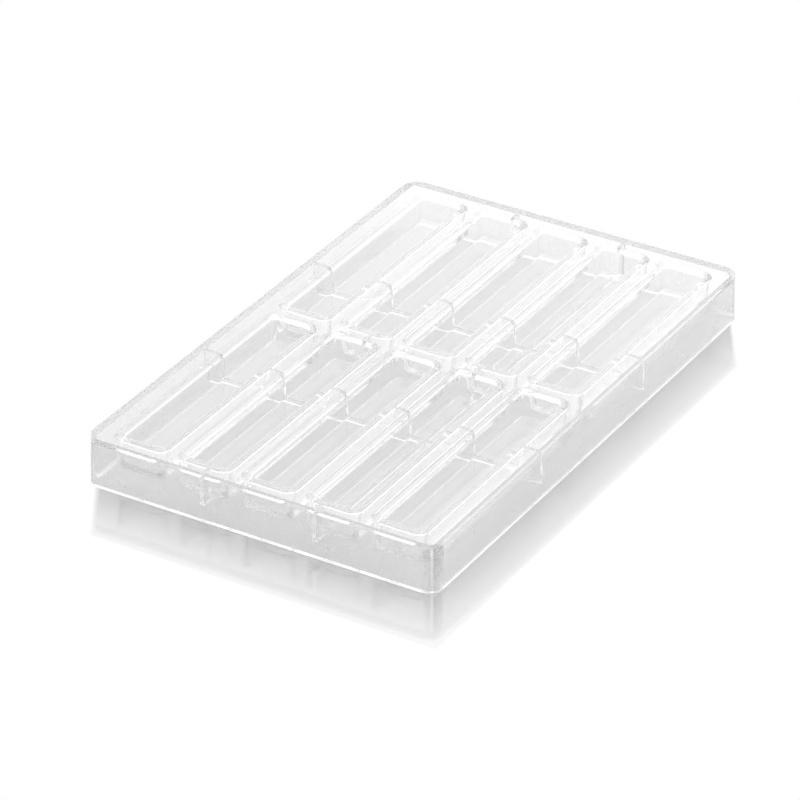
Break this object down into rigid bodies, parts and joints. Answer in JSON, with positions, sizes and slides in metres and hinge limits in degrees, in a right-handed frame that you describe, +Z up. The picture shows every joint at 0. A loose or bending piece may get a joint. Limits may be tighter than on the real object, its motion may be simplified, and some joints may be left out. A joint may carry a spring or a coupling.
{
  "type": "bar mould",
  "caption": "Clear rigid mould with rows of long narrow round-edged bar cavities sunk in a flat deck, standing on a drafted skirt with crossing ribs underneath.",
  "frame": {"origin": "centre of the footprint, on the plane the skirt's foot rests on", "axes": "+Z up out of the cavities, +Y along the bars, +X across the columns"},
  "size_m": [0.175, 0.275, 0.023],
  "materials": {
    "clear_plastic": "polished clear"
  },
  "bodies": {
    "root": {"deck_front": "clear_plastic", "deck_middle": "clear_plastic", "deck_rear": "clear_plastic", "deck_left_front": "clear_plastic", "deck_left_rear": "clear_plastic", "deck_right_front": "clear_plastic", "deck_right_rear": "clear_plastic", "web_front_1": "clear_plastic", "web_front_2": "clear_plastic", "web_front_3": "clear_plastic", "web_front_4": "clear_plastic", "web_rear_1": "clear_plastic", "web_rear_2": "clear_plastic", "web_rear_3": "clear_plastic", "web_rear_4": "clear_plastic", "cup_front_1": "clear_plastic", "cup_front_2": "clear_plastic", "cup_front_3": "clear_plastic", "cup_front_4": "clear_plastic", "cup_front_5": "clear_plastic", "cup_rear_1": "clear_plastic", "cup_rear_2": "clear_plastic", "cup_rear_3": "clear_plastic", "cup_rear_4": "clear_plastic", "cup_rear_5": "clear_plastic", "skirt_front": "clear_plastic", "skirt_rear": "clear_plastic", "skirt_left": "clear_plastic", "skirt_right": "clear_plastic", "corner_front_left": "clear_plastic", "corner_front_right": "clear_plastic", "corner_rear_left": "clear_plastic", "corner_rear_right": "clear_plastic", "cross_rib_front": "clear_plastic", "cross_rib_rear": "clear_plastic", "long_rib_left_front": "clear_plastic", "long_rib_left_middle": "clear_plastic", "long_rib_left_rear": "clear_plastic", "long_rib_right_front": "clear_plastic", "long_rib_right_middle": "clear_plastic", "long_rib_right_rear": "clear_plastic"}
  },
  "joints": []
}
